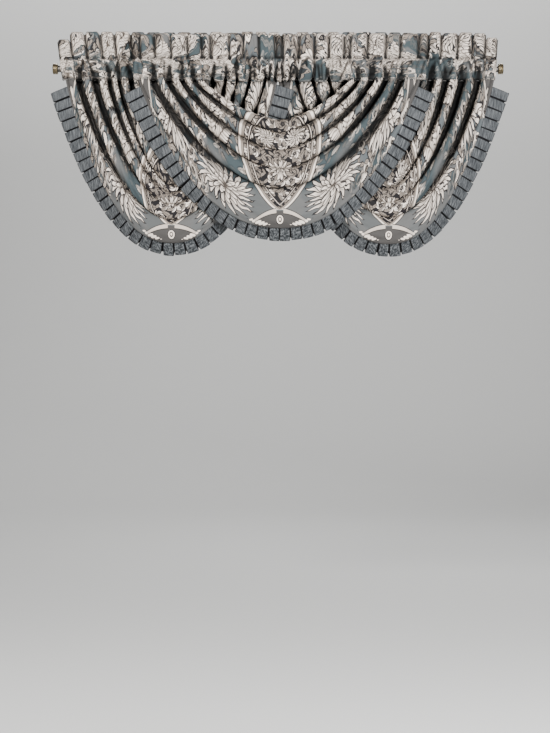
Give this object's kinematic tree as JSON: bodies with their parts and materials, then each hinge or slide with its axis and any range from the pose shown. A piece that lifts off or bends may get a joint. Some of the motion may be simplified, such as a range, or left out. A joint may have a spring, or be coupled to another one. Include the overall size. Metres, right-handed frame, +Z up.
{
  "type": "waterfall valance set on a double curtain rod",
  "caption": "Gathered damask waterfall valances with U-shaped folds and knife-pleated trim, layered on a double curtain rod with ribbed end caps.",
  "frame": {"origin": "on the back rod's axis, halfway between its two end caps", "axes": "+X along the rods to the right as seen from the room, +Z up, -Y towards the room, +Y towards the wall"},
  "size_m": [1.849, 0.1865, 0.9062],
  "materials": {
    "damask": "woven damask, soft sheen",
    "trim_weave": "heathered plain weave, matte",
    "brass": "aged, satin",
    "dark_steel": "satin"
  },
  "bodies": {
    "root": {"rod_back": "dark_steel", "rod_front": "dark_steel", "cap_left": "brass", "cap_right": "brass", "heading_left": "damask", "swag_left": "damask", "trim_left": "trim_weave", "heading_centre": "damask", "swag_centre": "damask", "trim_centre": "trim_weave", "heading_right": "damask", "swag_right": "damask", "trim_right": "trim_weave"}
  },
  "joints": []
}
